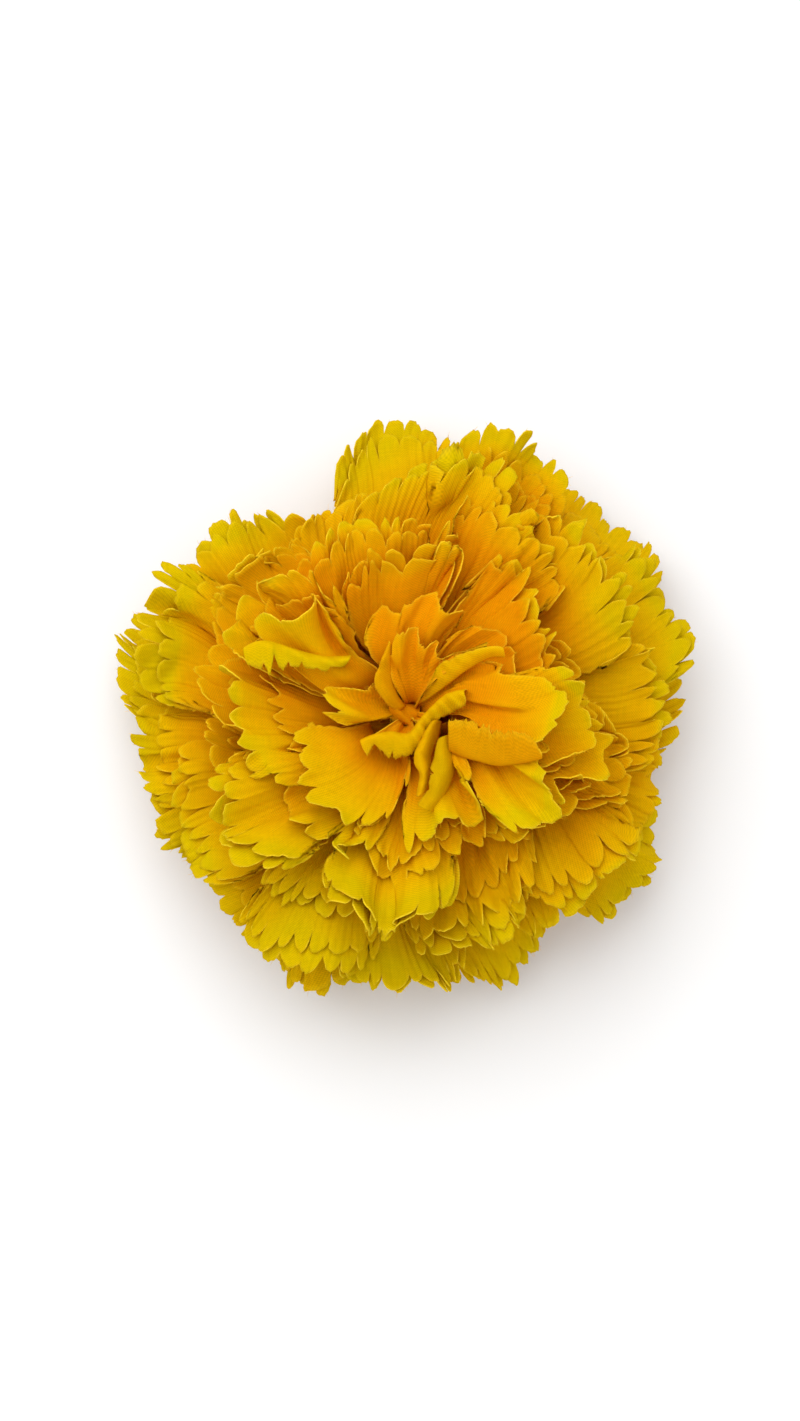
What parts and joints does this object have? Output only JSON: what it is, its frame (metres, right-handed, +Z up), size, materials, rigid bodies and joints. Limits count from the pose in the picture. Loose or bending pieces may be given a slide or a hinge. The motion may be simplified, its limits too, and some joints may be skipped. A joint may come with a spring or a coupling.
{
  "type": "fabric carnation head",
  "caption": "Made cloth carnation head: stacked discs of cut, toothed petals on a moulded green calyx with a flat foot.",
  "frame": {"origin": "middle of the calyx's flat foot, on the surface that it rests on", "axes": "+Z up along the post through the middle of the bloom, +Y towards the far side as the picture shows it, +X to the picture's right"},
  "size_m": [0.0904, 0.0929, 0.0418],
  "materials": {
    "yellow_cloth": "woven polyester, matt, with cut edges",
    "green_plastic": "moulded, satin",
    "amber_plastic": "moulded, satin"
  },
  "bodies": {
    "root": {"calyx": "green_plastic", "centre_cap": "amber_plastic", "petal_disc_1": "yellow_cloth", "petal_disc_2": "yellow_cloth", "petal_disc_3": "yellow_cloth", "petal_disc_4": "yellow_cloth", "petal_disc_5": "yellow_cloth", "petal_disc_6": "yellow_cloth", "petal_disc_7": "yellow_cloth", "petal_disc_8": "yellow_cloth"}
  },
  "joints": []
}
